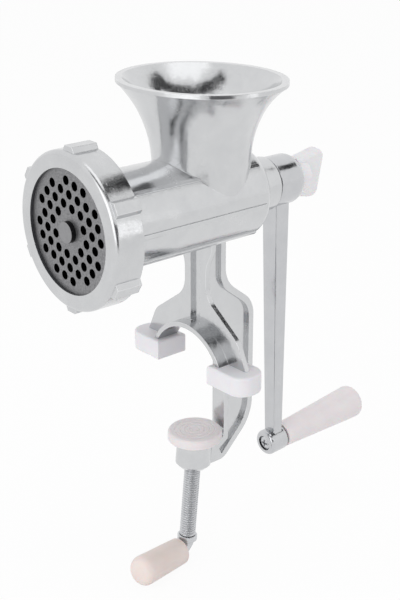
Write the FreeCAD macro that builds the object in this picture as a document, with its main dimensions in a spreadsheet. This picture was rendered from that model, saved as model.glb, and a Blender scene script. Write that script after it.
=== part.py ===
import FreeCAD, Part
import math
import os
import re

import Sketcher

# Hand crank meat grinder that clamps to the edge of a table.
# Millimetres, +Z up. The origin lies on the table top, on the axis of the clamp screw.
# The plate faces -Y, the crank is at +Y, and the two booted feet stand to the left and right.

SIZES = (
    # Barrel, seen along its axis. "y" sizes are distances from the clamp screw's axis.
    ("axis_height", 82.5, "barrel axis above the table top"),
    ("barrel_r", 21.5, "barrel outside radius"),
    ("bore_r", 18.5, "barrel bore radius"),
    ("barrel_back", 28.8, "rear face of the barrel, behind the screw axis"),
    ("barrel_round", 5.0, "rounding of the barrel's rear edge"),
    ("bore_end", 20.0, "end of the straight bore"),
    ("boss_end", 41.8, "end of the rear bearing boss"),
    ("boss_root_r", 14.0, "rear boss radius at the barrel"),
    ("boss_r", 12.8, "rear boss radius at its end"),
    ("thrust_seat", 30.0, "face that takes the auger's thrust"),
    ("thrust_seat_r", 11.0, "radius of that face"),
    ("head_r", 30.2, "threaded head radius"),
    ("head_wall", 3.0, "wall behind the blade"),
    ("cavity_r", 26.2, "radius of the blade's chamber"),
    ("seat_depth", 2.5, "depth of the plate's recess in the head"),
    ("rib_width", 2.0, "width of the barrel's long ribs"),
    ("rib_rise", 0.7, "height of the long ribs"),
    ("rib_root", 1.0, "depth of the ribs inside the barrel's wall"),
    ("rib_high_angle", 44.0, "upper rib, degrees above the horizontal"),
    ("rib_mid_angle", -6.0, "middle rib"),
    ("rib_low_angle", -50.0, "lower rib"),
    ("keel_width", 8.0, "width of the rib under the barrel"),
    ("keel_rise", 0.8, "depth of the rib under the barrel"),
    # Hopper.
    ("hopper_y", 3.5, "hopper axis behind the screw axis"),
    ("neck_x", 20.8, "neck half width"),
    ("neck_y", 23.2, "neck half length along the barrel"),
    ("neck_rise", 17.0, "start of the flare above the barrel axis"),
    ("mouth_x", 40.2, "mouth half width"),
    ("mouth_y", 35.4, "mouth half length along the barrel"),
    ("rim_rise", 54.9, "rim above the barrel axis"),
    ("hopper_wall", 2.4, "hopper wall"),
    ("rim_band", 1.8, "height of the band round the rim"),
    ("rim_proud", 0.4, "how far the band stands out"),
    # Leg, feet and clamp frame.
    ("leg_top_half", 11.5, "leg half width where it meets the barrel"),
    ("waist_half", 7.3, "leg half width at the waist"),
    ("waist_drop", 9.0, "top of the waist below the barrel"),
    ("waist_length", 14.5, "length of the waist"),
    ("shoulder_half", 29.0, "half width at the shoulder of the two arms"),
    ("shoulder_rise", 22.0, "height of that shoulder"),
    ("ankle_half", 34.8, "half width of the arms above the boots"),
    ("flange_front", 0.3, "front of the leg's flange, ahead of the screw axis"),
    ("flange_thick", 2.4, "thickness of that flange"),
    ("groove_half", 3.4, "half width of the groove down the flange"),
    ("groove_depth", 1.8, "depth of that groove"),
    ("arch_top", 21.6, "top of the arch between the feet"),
    ("arch_r", 24.0, "radius of the arch"),
    ("ledge_thick", 2.2, "thickness of the ledge along the arch"),
    ("flank_round", 12.0, "rounding of the leg's waist"),
    ("arm_round", 10.0, "rounding of the arms' shoulders"),
    ("frame_half", 4.2, "half thickness of the clamp frame"),
    ("frame_back", 33.0, "back of the spine"),
    ("frame_neck", 14.8, "back of the frame at the waist"),
    ("frame_rim", 2.8, "width of the rim round the frame's side panels"),
    ("panel_depth", 2.0, "depth of the side panels"),
    ("frame_high", 41.0, "start of the frame's rounded back"),
    ("frame_low", 27.0, "end of the slope at the frame's back"),
    ("frame_round", 14.0, "rounding of the frame's outline"),
    ("spine_front", 14.4, "front of the spine, which meets the table edge"),
    ("throat_low", 8.0, "bottom of the slope from the arch to the spine"),
    ("jaw_high", -42.0, "top of the lower jaw at the spine"),
    ("jaw_bend", -34.0, "height where the back bends under"),
    ("jaw_back", 14.5, "end of the lower slope"),
    ("jaw_round", 7.0, "rounding of the lower jaw's underside"),
    ("jaw_bend_round", 22.0, "rounding where the back bends under"),
    ("jaw_inner_round", 4.0, "rounding between the lower jaw and the spine"),
    ("screw_boss_r", 8.6, "radius of the clamp screw's boss"),
    ("screw_boss_top", -38.8, "top of that boss"),
    ("screw_boss_low", -52.0, "bottom of that boss"),
    ("screw_boss_chamfer", 1.8, "chamfer under that boss"),
    # Boots on the feet.
    ("boot_in", 17.6, "inner end of a boot from the middle"),
    ("boot_out", 40.6, "outer end of a boot"),
    ("boot_front", 8.6, "front of a boot, ahead of the screw axis"),
    ("boot_back", 8.4, "back of a boot"),
    ("boot_rise", 9.6, "height of a boot"),
    ("boot_wall", 2.4, "boot wall at the front and back"),
    ("boot_lip", 1.6, "thickness of a boot's top over the foot"),
    ("boot_end_wall", 3.8, "boot wall at both ends"),
    ("boot_floor", 3.4, "boot floor, between foot and table"),
    ("boot_round", 7.5, "rounding of a boot's outer corners"),
    ("boot_soften", 1.1, "rounding of a boot's upper and lower edges"),
    ("foot_corner", 4.0, "rounding of a foot's outer corners"),
    # Ring nut.
    ("ring_front", 70.3, "ring nut's face, ahead of the screw axis"),
    ("ring_depth", 14.0, "ring nut depth"),
    ("ring_r", 34.4, "ring nut radius between the lugs"),
    ("ring_open_r", 27.0, "opening in front of the plate"),
    ("ring_lip", 1.4, "thickness of the lip that holds the plate"),
    ("ring_round", 2.0, "rounding of the ring nut's front edge"),
    ("lug_r", 36.5, "radius over the lugs"),
    ("lug_base", 8.2, "lug width at its root"),
    ("lug_tip", 5.0, "lug width at its top"),
    ("lug_set_back", 1.6, "front of the lugs behind the ring nut's face"),
    ("lug_turn", 27.9, "angle of the first lug above the horizontal"),
    ("lug_count", 6, "number of lugs"),
    ("thread_clear", 0.3, "gap between the two threads' outlines"),
    # Grinding plate.
    ("plate_r", 27.8, "plate radius"),
    ("plate_thick", 3.5, "plate thickness"),
    ("plate_clear", 0.3, "gap round the plate"),
    ("seat_gap", 0.1, "gap between plate and lip"),
    ("hole_pitch", 6.05, "distance between neighbouring holes"),
    ("hole_r", 2.05, "hole radius"),
    ("hole_turn", 46.8, "turn of the hole pattern"),
    ("key_r", 1.0, "radius of the key pin"),
    ("key_ring_r", 28.0, "distance of the key pin from the axis"),
    ("key_clear", 0.2, "gap between the key pin and the plate's notch"),
    ("key_depth", 2.0, "depth of the key pin in the head's wall"),
    # Blade, auger and drive stud.
    ("blade_r", 25.0, "blade radius"),
    ("blade_thick", 3.2, "blade thickness"),
    ("blade_hub_r", 9.0, "blade hub radius"),
    ("blade_root", 8.0, "arm width at the hub"),
    ("blade_tip", 6.0, "arm width at its tip"),
    ("blade_gap", 0.1, "gap between blade and plate"),
    ("blade_float", 0.4, "gap behind the blade"),
    ("stud_square", 8.4, "drive stud, across its square"),
    ("square_clear", 0.1, "gap each side of the square"),
    ("nose_r", 4.6, "radius of the drive stud's nose"),
    ("nose_clear", 0.08, "running gap round the nose"),
    ("nose_proud", 2.2, "how far the nose stands out of the plate"),
    ("stud_r", 4.0, "radius of the stud inside the auger"),
    ("stud_grip", 18.0, "length of the stud inside the auger"),
    ("core_front_r", 7.5, "auger core radius at the front"),
    ("core_back_r", 9.5, "auger core radius at the back"),
    ("flight_r", 17.9, "auger flight radius"),
    ("flight_thick", 3.0, "flight thickness"),
    ("flight_pitch", 22.0, "advance of the flight in one turn"),
    ("flight_start", 16.0, "back end of the flight"),
    ("shaft_r", 6.0, "auger shaft radius"),
    ("shaft_clear", 0.05, "running gap round the shaft"),
    ("shaft_square", 9.0, "square end of the shaft, across its flats"),
    ("shaft_end", 54.0, "end of the shaft's square"),
    ("bush_r", 8.0, "outside radius of the rear bush"),
    ("washer_thick", 1.4, "thrust washer thickness"),
    ("washer_gap", 0.1, "play of the thrust washer"),
    ("washer_r", 10.6, "thrust washer radius"),
    # Crank.
    ("hub_front", 43.1, "front of the crank's hub"),
    ("hub_back", 60.0, "back of the crank's hub"),
    ("hub_r", 12.0, "crank hub radius"),
    ("hub_soften", 0.6, "rounding of the hub's front edge"),
    ("hub_round", 5.0, "rounding of the hub's back edge"),
    ("crank_length", 139.4, "grip axis below the barrel axis"),
    ("arm_top_half", 5.4, "arm half width at the hub"),
    ("arm_low_half", 3.8, "arm half width at the lower boss"),
    ("arm_top_front", 46.0, "arm front face at the hub"),
    ("arm_top_back", 54.6, "arm back face at the hub"),
    ("arm_low_front", 50.0, "arm front face at the lower boss"),
    ("arm_low_back", 55.4, "arm back face at the lower boss"),
    ("arm_soften", 1.0, "rounding of the arm's edges"),
    ("grip_angle", 3.0, "rise of the grip's axis backwards, in degrees"),
    ("pin_boss_r", 6.6, "radius of the lower boss"),
    ("pin_boss_round", 2.0, "rounding of the lower boss"),
    ("pin_boss_front", 46.3, "front of the lower boss"),
    ("pin_boss_back", 58.2, "back of the lower boss"),
    ("grip_gap", 0.4, "gap between the lower boss and the grip"),
    ("grip_end", 112.8, "end of the crank grip along its axis"),
    ("grip_root_r", 6.3, "grip radius at the boss"),
    ("grip_end_r", 9.0, "grip radius at its end"),
    ("grip_dome", 3.0, "rounding of the grip's end"),
    ("screw_r", 2.5, "grip screw shank radius"),
    ("screw_clear", 0.08, "running gap round the shank"),
    ("screw_head_r", 3.9, "grip screw head radius"),
    ("screw_head_thick", 2.0, "grip screw head thickness"),
    ("screw_sink", 2.6, "depth of the head's recess"),
    ("screw_reach", 38.0, "length of the shank inside the grip"),
    # Thumb screw.
    ("knob_gap", 0.1, "gap between hub and knob"),
    ("knob_collar_r", 8.6, "collar radius"),
    ("knob_collar", 6.0, "collar length"),
    ("knob_reach", 17.8, "knob length"),
    ("knob_half", 12.3, "half height of the wing"),
    ("knob_root_half", 9.6, "half height of the wing at the collar"),
    ("knob_thick", 7.0, "wing thickness"),
    ("knob_angle", 10.0, "turn of the wing from upright, in degrees"),
    ("knob_round", 4.0, "rounding of the wing's corners"),
    ("knob_soften", 2.0, "rounding of the wing's edges"),
    ("thumb_r", 3.0, "thumb screw stud radius"),
    ("thumb_clear", 0.08, "gap round the stud in the shaft"),
    ("thumb_depth", 9.0, "length of the stud inside the shaft"),
    ("thumb_hold", 12.0, "length of the stud inside the knob"),
    # Clamp screw.
    ("clamp_r", 4.0, "clamp screw radius over its thread"),
    ("clamp_clear", 0.08, "running gap of the clamp screw"),
    ("tip_r", 3.2, "radius of the screw's tip in the swivel foot"),
    ("tip_length", 2.2, "length of that tip"),
    ("tip_gap", 0.6, "gap between the screw's shoulder and the swivel foot"),
    ("tip_clear", 0.4, "room for the tip to slant in its socket"),
    ("collar_top", -89.5, "top of the collar at the end of the thread"),
    ("collar_thick", 3.0, "collar thickness"),
    ("collar_r", 4.9, "collar radius"),
    ("lever_height", -97.2, "lever axis"),
    ("lever_angle", 10.0, "turn of the lever from straight ahead, in degrees"),
    ("lever_r", 4.1, "lever rod radius"),
    ("lever_bend", 6.0, "bend radius of the rod"),
    ("lever_reach", 28.0, "end of the rod, ahead of the screw axis"),
    ("lever_grip_end", 36.0, "end of the lever grip"),
    ("lever_grip_root_r", 6.7, "lever grip radius at the bend"),
    ("lever_grip_end_r", 7.5, "lever grip radius at its end"),
    ("lever_grip_dome", 4.0, "rounding of the lever grip's end"),
    ("clamp_lean", 5.5, "slant of the clamp screw, in degrees, its handle forwards"),
    ("pad_forward", 0.2, "screw axis at the pad's top, ahead of the origin"),
    ("pad_top", -32.5, "top of the pad, the clamp fully open"),
    ("pad_r", 13.2, "pad radius"),
    ("pad_thick", 5.0, "pad thickness"),
    ("pad_roof", 2.2, "pad thickness over the swivel foot"),
    ("pad_soften", 0.8, "rounding of the pad's edge"),
    ("pad_groove_r", 9.4, "radius of the outer ring on the pad"),
    ("pad_groove_inner_r", 5.2, "radius of the inner ring on the pad"),
    ("pad_groove", 0.5, "half width and depth of those rings"),
    ("foot_disc_r", 11.0, "swivel foot radius"),
    # How far tools run past the faces they cut.
    ("overrun", 2.0, "run of a cut past the face that it opens"),
)

doc = FreeCAD.newDocument("hand_crank_meat_grinder")
sizes = doc.addObject("Spreadsheet::Sheet", "sizes")
for row, (alias, value, meaning) in enumerate(SIZES, start=1):
    sizes.set("A%d" % row, meaning)
    sizes.set("B%d" % row, str(value))
    sizes.setAlias("B%d" % row, alias)
doc.recompute()

ALIASES = {alias for alias, value, meaning in SIZES}
TO_Y = FreeCAD.Rotation(FreeCAD.Vector(1, 0, 0), -90)
OVAL_POINTS = 12

# Stations along the barrel, as formulas in the sheet's names, counted towards the plate.
PLATE_FRONT = "(ring_front - ring_lip - seat_gap)"
PLATE_BACK = "(%s - plate_thick)" % PLATE_FRONT
BLADE_BACK = "(%s - blade_gap - blade_thick)" % PLATE_BACK
CAVITY_BACK = "(%s - blade_float)" % BLADE_BACK
HEAD_BACK = "(%s - head_wall)" % CAVITY_BACK
HEAD_FRONT = "(%s + seat_depth)" % PLATE_BACK
AUGER_BACK = "(thrust_seat - washer_thick - washer_gap)"
ARCH_CENTRE = "(arch_top - arch_r)"
FOOT_IN = "(boot_in + boot_end_wall)"
FOOT_OUT = "(boot_out - boot_end_wall)"
FOOT_FRONT = "(boot_front - boot_wall)"
FOOT_BACK = "(boot_back - boot_wall)"
FOOT_TOP = "(boot_rise - boot_lip)"
FLANGE_BACK = "(flange_thick - flange_front)"
LEG_TOP = "(axis_height - barrel_r / 2)"
PAD_Y = "(-pad_forward - (pad_thick - tip_length / 2) * tan(clamp_lean))"
WAIST_HIGH = "(axis_height - barrel_r - waist_drop)"
WAIST_LOW = "(%s - waist_length)" % WAIST_HIGH


def formula(text):
    """The text with every name of the sheet written as the sheet's own reference."""
    def reference(match):
        word = match.group(0)
        return "sizes." + word if word in ALIASES else word
    return re.sub(r"[a-z][a-z_0-9]*", reference, str(text))


def size(text):
    """The number that a formula gives now."""
    return float(sizes.evalExpression(formula(text)))


def bind(thing, **bindings):
    """Tie each named property to its formula; double underscores stand for dots."""
    for name, text in bindings.items():
        thing.setExpression(name.replace("__", "."), formula(text))
    return thing


def new(kind, name, rotation=None, at=("0", "0", "0"), **bindings):
    """A document object of a kind, turned, placed and sized by formulas."""
    thing = doc.addObject(kind, name)
    if rotation is not None:
        thing.Placement = FreeCAD.Placement(FreeCAD.Vector(), rotation)
    for axis, text in zip("xyz", at):
        if text != "0":
            thing.setExpression("Placement.Base." + axis, formula(text))
    return bind(thing, **bindings)


def joined(name, pieces):
    """All the pieces as one solid."""
    fuse = doc.addObject("Part::MultiFuse", name)
    fuse.Shapes = pieces
    fuse.Refine = True
    return fuse


def cut(name, base, tool):
    """The base without the tool."""
    result = doc.addObject("Part::Cut", name)
    result.Base = base
    result.Tool = tool
    result.Refine = True
    return result


def new_body(name, z="0"):
    """An empty body whose own origin is raised to a height."""
    return new("PartDesign::Body", name, at=("0", "0", z))


def new_sketch(body, name, plane, offset=None):
    """An empty sketch on one of the body's origin planes, or at a distance from it."""
    sketch = body.newObject("Sketcher::SketchObject", name)
    support = [feature for feature in body.Origin.OriginFeatures if feature.Role == plane][0]
    sketch.AttachmentSupport = [(support, "")]
    sketch.MapMode = "FlatFace"
    if offset is not None:
        sketch.setExpression("AttachmentOffset.Base.z", formula(offset))
    return sketch


def pin_point(sketch, curve, end, x, y):
    """Hold a point of a sketch curve at two formulas from the sketch's origin."""
    for kind, text, axis in (("DistanceX", x, -2), ("DistanceY", y, -1)):
        if text == "0":
            sketch.addConstraint(Sketcher.Constraint("PointOnObject", curve, end, axis))
        else:
            hold = Sketcher.Constraint(kind, -1, 1, curve, end, size(text))
            index = sketch.addConstraint(hold)
            sketch.setExpression("Constraints[%d]" % index, formula(text))


def outline(sketch, corners):
    """A closed straight-sided outline through corners given as pairs of formulas."""
    points = [FreeCAD.Vector(size(x), size(y), 0) for x, y in corners]
    first = sketch.GeometryCount
    count = len(points)
    for k in range(count):
        sketch.addGeometry(Part.LineSegment(points[k], points[(k + 1) % count]))
    for k in range(count):
        follower = first + (k + 1) % count
        sketch.addConstraint(Sketcher.Constraint("Coincident", first + k, 2, follower, 1))
    for k, (x, y) in enumerate(corners):
        pin_point(sketch, first + k, 1, x, y)
    return sketch


def circle(sketch, x, y, radius):
    """A circle of a sketch, its centre and radius given by formulas."""
    centre = FreeCAD.Vector(size(x), size(y), 0)
    index = sketch.addGeometry(Part.Circle(centre, FreeCAD.Vector(0, 0, 1), size(radius)))
    pin_point(sketch, index, 3, x, y)
    hold = sketch.addConstraint(Sketcher.Constraint("Radius", index, size(radius)))
    sketch.setExpression("Constraints[%d]" % hold, formula(radius))


def turned(body, name, plane, axis, corners):
    """A solid of revolution of an outline about an axis of its sketch."""
    sketch = outline(new_sketch(body, name + "_outline", plane), corners)
    solid = body.newObject("PartDesign::Revolution", name)
    solid.Profile = sketch
    solid.ReferenceAxis = (sketch, [axis])
    solid.Angle = 360
    doc.recompute()
    return solid


def extruded(body, kind, name, sketch, length, symmetric=False, reverse=False):
    """A pad or pocket of a sketch."""
    feature = body.newObject("PartDesign::" + kind, name)
    feature.Profile = sketch
    feature.setExpression("Length", formula(length))
    feature.SideType = "Symmetric" if symmetric else "One side"
    feature.Reversed = reverse
    doc.recompute()
    return feature


def edges_where(feature, test):
    """Names of the edges whose middle point passes a test."""
    names = []
    for number, edge in enumerate(feature.Shape.Edges, start=1):
        low, high = edge.ParameterRange
        if test(edge, edge.valueAt((low + high) / 2)):
            names.append("Edge%d" % number)
    return names


def rounded(body, name, base, radius, test):
    """Rounding of the edges that pass a test."""
    feature = body.newObject("PartDesign::Fillet", name)
    feature.Base = (base, edges_where(base, test))
    feature.setExpression("Radius", formula(radius))
    doc.recompute()
    return feature


def along(edge, axis):
    """Whether an edge is a straight line parallel to an axis."""
    if not isinstance(edge.Curve, Part.Line):
        return False
    return abs(getattr(edge.Curve.Direction, axis)) > 0.999


def near(value, text):
    """Whether a number is the one that a formula gives."""
    return abs(value - size(text)) < 0.01


def on_corner(axis, corners):
    """Test for edges parallel to an axis through any of the corners, as pairs of formulas."""
    others = [name for name in "xyz" if name != axis]

    def test(edge, middle):
        if not along(edge, axis):
            return False
        for pair in corners:
            if all(near(getattr(middle, name), text) for name, text in zip(others, pair)):
                return True
        return False
    return test


def on_ring(axis, station, radius):
    """Test for a circle about an axis at a station along it and with a radius."""
    def test(edge, middle):
        if not isinstance(edge.Curve, Part.Circle):
            return False
        return near(getattr(middle, axis), station) and near(edge.Curve.Radius, radius)
    return test


def barrel_outside():
    """Barrel with its threaded head and tapered rear boss, turned about the barrel's axis."""
    body = new_body("barrel_outside", "axis_height")
    shape = turned(body, "barrel_turned", "YZ_Plane", "H_Axis", (
        ("-" + HEAD_FRONT, "0"),
        ("-" + HEAD_FRONT, "head_r"),
        ("-" + HEAD_BACK, "head_r"),
        ("-" + HEAD_BACK, "barrel_r"),
        ("barrel_back", "barrel_r"),
        ("barrel_back", "boss_root_r"),
        ("boss_end", "boss_r"),
        ("boss_end", "0")))
    rounded(body, "barrel_shoulder", shape, "barrel_round", on_ring("y", "barrel_back", "barrel_r"))
    return body


def barrel_inside():
    """Plate seat, blade chamber, bore, thrust seat and bearing bore, as the space they leave."""
    body = new_body("barrel_inside", "axis_height")
    seat_r = "plate_r + plate_clear"
    turned(body, "bore_turned", "YZ_Plane", "H_Axis", (
        ("-%s - overrun" % HEAD_FRONT, "0"),
        ("-%s - overrun" % HEAD_FRONT, seat_r),
        ("-" + PLATE_BACK, seat_r),
        ("-" + PLATE_BACK, "cavity_r"),
        ("-" + CAVITY_BACK, "cavity_r"),
        ("-" + CAVITY_BACK, "bore_r"),
        ("bore_end", "bore_r"),
        ("thrust_seat", "thrust_seat_r"),
        ("thrust_seat", "bush_r"),
        ("boss_end + overrun", "bush_r"),
        ("boss_end + overrun", "0")))
    return body


def barrel_ribs():
    """Long ribs on both sides of the barrel and the keel under it."""
    ribs = []
    root = "(barrel_r - rib_root)"
    for name in ("rib_high_angle", "rib_mid_angle", "rib_low_angle"):
        for side, angle in (("right", name), ("left", "(180 - %s)" % name)):
            rib = new(
                "Part::Box", "%s_%s" % (name[:-6], side),
                FreeCAD.Rotation(FreeCAD.Vector(0, 1, 0), -size(angle)),
                ("%s * cos(%s) + rib_width / 2 * sin(%s)" % (root, angle, angle),
                 "-" + HEAD_BACK,
                 "axis_height + %s * sin(%s) - rib_width / 2 * cos(%s)" % (root, angle, angle)),
                Length="rib_root + rib_rise", Height="rib_width",
                Width=HEAD_BACK + " + barrel_back - barrel_round")
            ribs.append(rib)
    keel = new(
        "Part::Box", "keel", None,
        ("-keel_width / 2", "-" + HEAD_BACK, "axis_height - barrel_r - keel_rise"),
        Length="keel_width", Width=HEAD_BACK + " + frame_neck", Height="keel_rise + rib_root * 2")
    return ribs + [keel]


def oval(half_x, half_y, level):
    """Smooth closed curve round the hopper's axis through points of an ellipse."""
    points = []
    for k in range(OVAL_POINTS):
        turn = 2 * math.pi * k / OVAL_POINTS
        points.append(FreeCAD.Vector(
            half_x * math.cos(turn), size("hopper_y") + half_y * math.sin(turn), level))
    curve = Part.BSplineCurve()
    curve.interpolate(points, PeriodicFlag=True)
    return Part.Wire(curve.toShape())


def trumpet(name, thin, top, shares):
    """Hopper form inside a wall's thickness: a straight oval neck, then a flare along an arc.

    The neck is longer along the barrel and the mouth is longer across it, so no scaled turning
    fits; each level's ellipse is worked out from the sheet.
    """
    base = size("axis_height")
    neck_rise = size("neck_rise")
    rise = size(top) - neck_rise
    levels = [(base, 0.0), (base + neck_rise / 2, 0.0)]
    levels += [(base + neck_rise + rise * share, rise * share) for share in shares]
    sections = []
    for level, step in levels:
        half = []
        for neck, mouth in (("neck_x", "mouth_x"), ("neck_y", "mouth_y")):
            spread = size(mouth) - size(neck)
            bend = (rise ** 2 + spread ** 2) / (2 * spread)
            half.append(size(neck) - size(thin) + bend - math.sqrt(bend ** 2 - step ** 2))
        sections.append(oval(half[0], half[1], level))
    form = doc.addObject("Part::Feature", name)
    form.Shape = Part.makeLoft(sections, True)
    return form


def rim_band():
    """Plain band that stands out a little round the hopper's mouth."""
    edge = new("Part::Ellipse", "rim_edge", None,
               ("0", "hopper_y", "axis_height + rim_rise - rim_band"),
               MajorRadius="mouth_x + rim_proud", MinorRadius="mouth_y + rim_proud")
    band = doc.addObject("Part::Extrusion", "rim_band")
    band.Base = edge
    band.DirMode = "Custom"
    band.Dir = FreeCAD.Vector(0, 0, 1)
    band.Solid = True
    return bind(band, LengthFwd="rim_band")


def leg_flange():
    """Upright flange of the leg: a waist that spreads into two arms with rounded shoulders."""
    body = new_body("leg_flange")
    right = (
        ("leg_top_half", LEG_TOP),
        ("leg_top_half", "axis_height - barrel_r"),
        ("waist_half", WAIST_HIGH),
        ("waist_half", WAIST_LOW),
        ("shoulder_half", "shoulder_rise"),
        ("ankle_half", "boot_rise"),
        ("ankle_half", "boot_floor"))
    left = tuple(("-" + x, z) for x, z in reversed(right))
    sketch = new_sketch(body, "flange_outline", "XZ_Plane", "-" + FLANGE_BACK)
    outline(sketch, right + left)
    pad = extruded(body, "Pad", "flange_pad", sketch, "flange_thick")
    waist = [(sign + x, z) for sign in ("", "-") for x, z in right[2:4]]
    smooth = rounded(body, "waist_rounded", pad, "flank_round", on_corner("y", waist))
    shoulders = [(sign + "shoulder_half", "shoulder_rise") for sign in ("", "-")]
    rounded(body, "arm_rounded", smooth, "arm_round", on_corner("y", shoulders))
    return body


def arch_ledge():
    """Ledge along the arch, wider than the flange, that runs down into both feet."""
    form = new("Part::Cylinder", "ledge_round", TO_Y, ("0", "-" + FOOT_FRONT, ARCH_CENTRE),
               Radius="arch_r + ledge_thick", Height=FOOT_FRONT + " + " + FOOT_BACK)
    window = new("Part::Box", "ledge_window", None, ("-" + FOOT_OUT, "-2 * boot_front", "boot_floor"),
                 Length="2 * " + FOOT_OUT, Width="4 * boot_front", Height="arch_top")
    ledge = doc.addObject("Part::Common", "arch_ledge")
    ledge.Base = form
    ledge.Tool = window
    return ledge


def foot_tenons():
    """Ends of the two feet, which fill the boots."""
    tenons = []
    for side, start in (("right", FOOT_IN), ("left", "-" + FOOT_OUT)):
        body = new_body("tenon_" + side)
        sketch = new_sketch(body, "tenon_%s_outline" % side, "XY_Plane", "boot_floor")
        end = "%s + %s - %s" % (start, FOOT_OUT, FOOT_IN)
        outline(sketch, (
            (start, "-" + FOOT_FRONT), (end, "-" + FOOT_FRONT), (end, FOOT_BACK), (start, FOOT_BACK)))
        pad = extruded(body, "Pad", "tenon_%s_pad" % side, sketch, FOOT_TOP + " - boot_floor")
        outer = FOOT_OUT if side == "right" else "-" + FOOT_OUT
        corners = [(outer, "-" + FOOT_FRONT), (outer, FOOT_BACK)]
        rounded(body, "tenon_%s_round" % side, pad, "foot_corner", on_corner("z", corners))
        tenons.append(body)
    return tenons


def clamp_frame():
    """C-shaped frame behind the feet, with a rim round its sunken side panels."""
    body = new_body("clamp_frame")
    sketch = outline(new_sketch(body, "frame_outline", "YZ_Plane"), (
        ("0", LEG_TOP),
        ("0", "arch_top + ledge_thick / 2"),
        (FOOT_BACK, "arch_top + ledge_thick / 2"),
        ("spine_front", "throat_low"),
        ("spine_front", "jaw_high"),
        ("0", "screw_boss_top - frame_rim"),
        ("0", "screw_boss_low"),
        ("jaw_back", "screw_boss_low"),
        ("frame_back", "jaw_bend"),
        ("frame_back", "frame_low"),
        ("frame_neck", "frame_high"),
        ("frame_neck", LEG_TOP)))
    pad = extruded(body, "Pad", "frame_pad", sketch, "2 * frame_half", symmetric=True)
    bends = [("frame_back", "frame_low"), ("frame_neck", "frame_high"),
             ("spine_front", "throat_low")]
    smooth = rounded(body, "frame_rounded", pad, "frame_round", on_corner("x", bends))
    smooth = rounded(body, "jaw_bent", smooth, "jaw_bend_round",
                     on_corner("x", [("frame_back", "jaw_bend")]))
    smooth = rounded(body, "jaw_rounded", smooth, "jaw_round",
                     on_corner("x", [("jaw_back", "screw_boss_low")]))
    rounded(body, "jaw_inner_rounded", smooth, "jaw_inner_round",
            on_corner("x", [("spine_front", "jaw_high")]))
    half_rim = "frame_rim * 0.6"
    high_bend = ("frame_neck - frame_rim", "frame_high - " + half_rim)
    back_bend = ("frame_back - frame_rim", "frame_low - " + half_rim)
    low_bend = ("frame_back - frame_rim", "jaw_bend + " + half_rim)
    for side, level in (("right", "frame_half"), ("left", "-frame_half")):
        panel = new_sketch(body, "panel_%s_outline" % side, "YZ_Plane", level)
        outline(panel, (
            (FLANGE_BACK, "axis_height - barrel_r + rib_root"),
            (FLANGE_BACK, "arch_top + frame_rim"),
            (FOOT_BACK + " + frame_rim", "arch_top + frame_rim"),
            ("spine_front + frame_rim", "throat_low + frame_rim / 2"),
            ("spine_front + frame_rim", "jaw_high"),
            ("screw_boss_r + frame_rim", "screw_boss_top - frame_rim * 2.5"),
            ("jaw_back - frame_rim / 2", "screw_boss_low + frame_rim"),
            low_bend,
            back_bend,
            high_bend,
            ("frame_neck - frame_rim", "axis_height - barrel_r + rib_root")))
        pocket = extruded(body, "Pocket", "panel_" + side, panel, "panel_depth", reverse=side == "left")
    smooth = rounded(body, "panel_rounded", pocket, "frame_round - frame_rim",
                     on_corner("x", [high_bend, back_bend]))
    rounded(body, "panel_bent", smooth, "jaw_bend_round - frame_rim", on_corner("x", [low_bend]))
    return body


def leaned(thing, turn=0):
    """Turn a clamp piece, built upright, about its own axis and then to the screw's slant."""
    slant = FreeCAD.Rotation(FreeCAD.Vector(1, 0, 0), -size("clamp_lean"))
    spin = FreeCAD.Rotation(FreeCAD.Vector(0, 0, 1), turn)
    thing.Placement = FreeCAD.Placement(FreeCAD.Vector(), slant.multiply(spin))
    thing.setExpression("Placement.Base.y", formula("-pad_forward - pad_top * sin(clamp_lean)"))
    thing.setExpression("Placement.Base.z", formula("pad_top - pad_top * cos(clamp_lean)"))
    return thing


def screw_boss():
    """Boss of the lower jaw that carries the clamp screw."""
    body = new_body("screw_boss")
    turned(body, "screw_boss_turned", "XZ_Plane", "V_Axis", (
        ("0", "screw_boss_top"),
        ("screw_boss_r", "screw_boss_top"),
        ("screw_boss_r", "screw_boss_low + screw_boss_chamfer"),
        ("screw_boss_r - screw_boss_chamfer", "screw_boss_low"),
        ("0", "screw_boss_low")))
    return leaned(body)


def screw_hole():
    """Space of the clamp screw through its boss."""
    body = new_body("screw_hole")
    radius = "clamp_r + clamp_clear"
    turned(body, "screw_hole_turned", "XZ_Plane", "V_Axis", (
        ("0", "screw_boss_top + overrun"), (radius, "screw_boss_top + overrun"),
        (radius, "screw_boss_low - overrun"), ("0", "screw_boss_low - overrun")))
    return leaned(body)


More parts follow.
